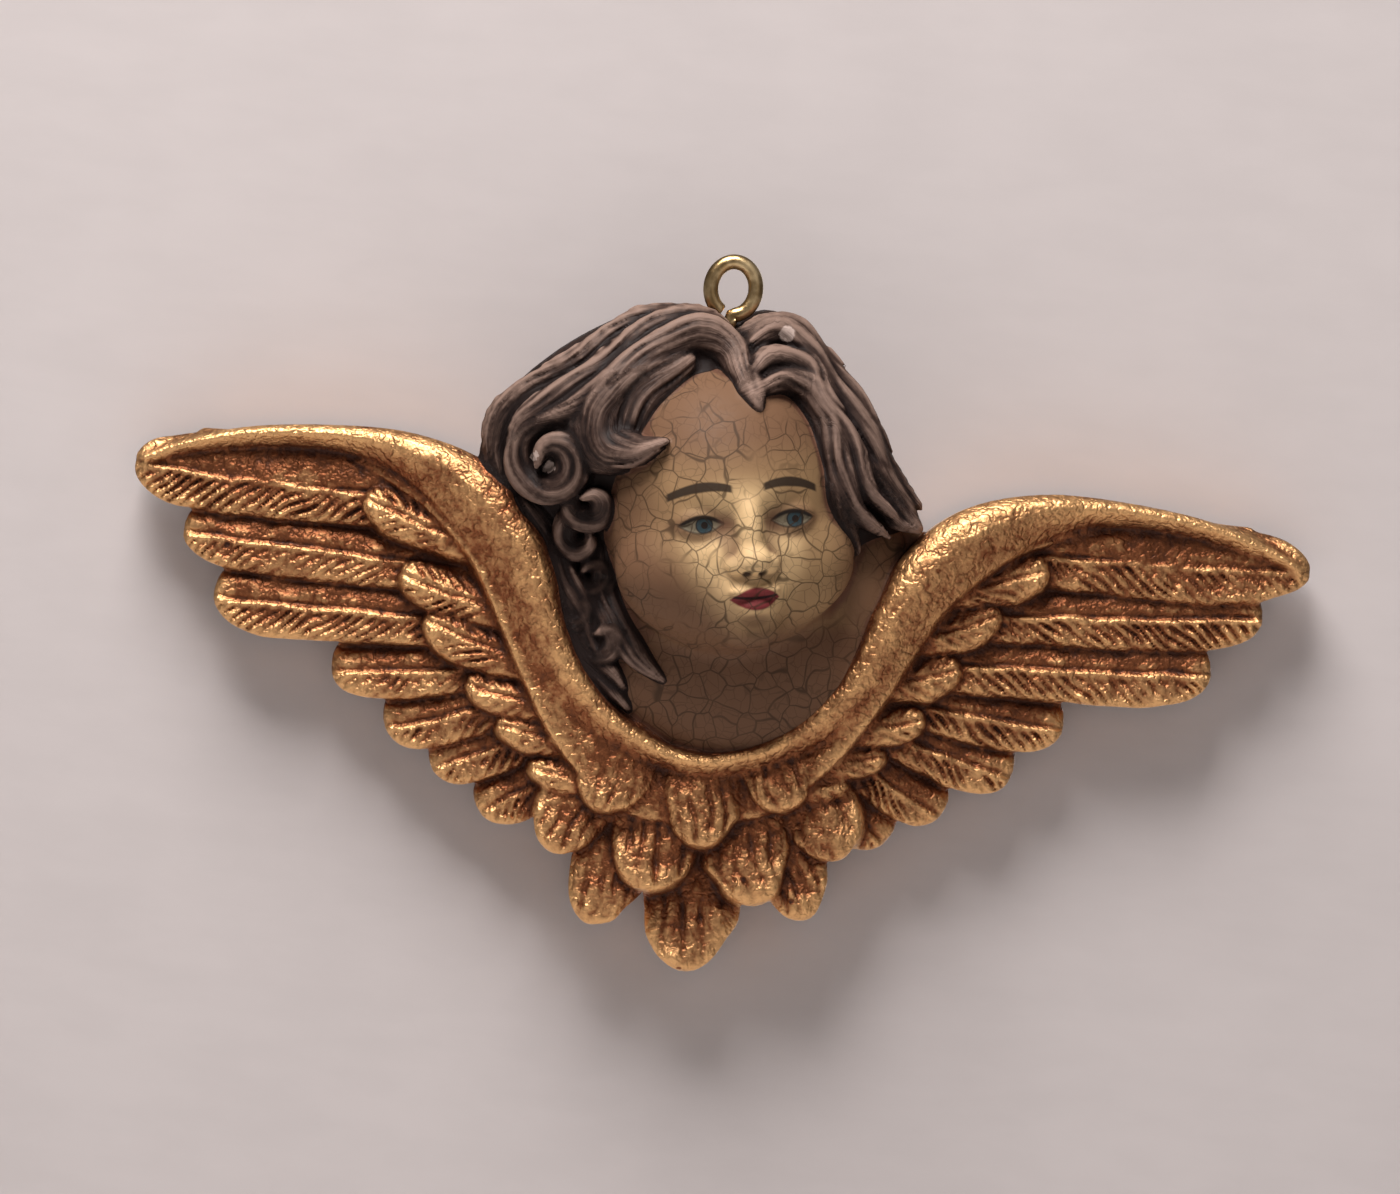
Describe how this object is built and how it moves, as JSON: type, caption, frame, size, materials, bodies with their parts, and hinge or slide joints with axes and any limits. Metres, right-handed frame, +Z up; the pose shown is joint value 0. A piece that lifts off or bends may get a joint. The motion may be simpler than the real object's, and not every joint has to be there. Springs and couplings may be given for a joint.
{
  "type": "winged cherub head",
  "caption": "Hanging ornament: a cherub's head with curled hair in a collar of feathers between two spread wings, flat at the back, with a screw eye on top.",
  "frame": {"origin": "inside top of the screw eye's ring, where a hook or thread bears", "axes": "+Z up as it hangs, +X to the viewer's right along the wings, the face looks along -Y and the flat back faces +Y"},
  "size_m": [0.1004, 0.02, 0.0609],
  "materials": {
    "painted_casting": "antique gold over red-brown on the wings, dark brown hair, crackled cream skin",
    "brass_wire": "dull, slightly tarnished"
  },
  "bodies": {
    "root": {"winged_head": "painted_casting", "screw_eye": "brass_wire"}
  },
  "joints": []
}
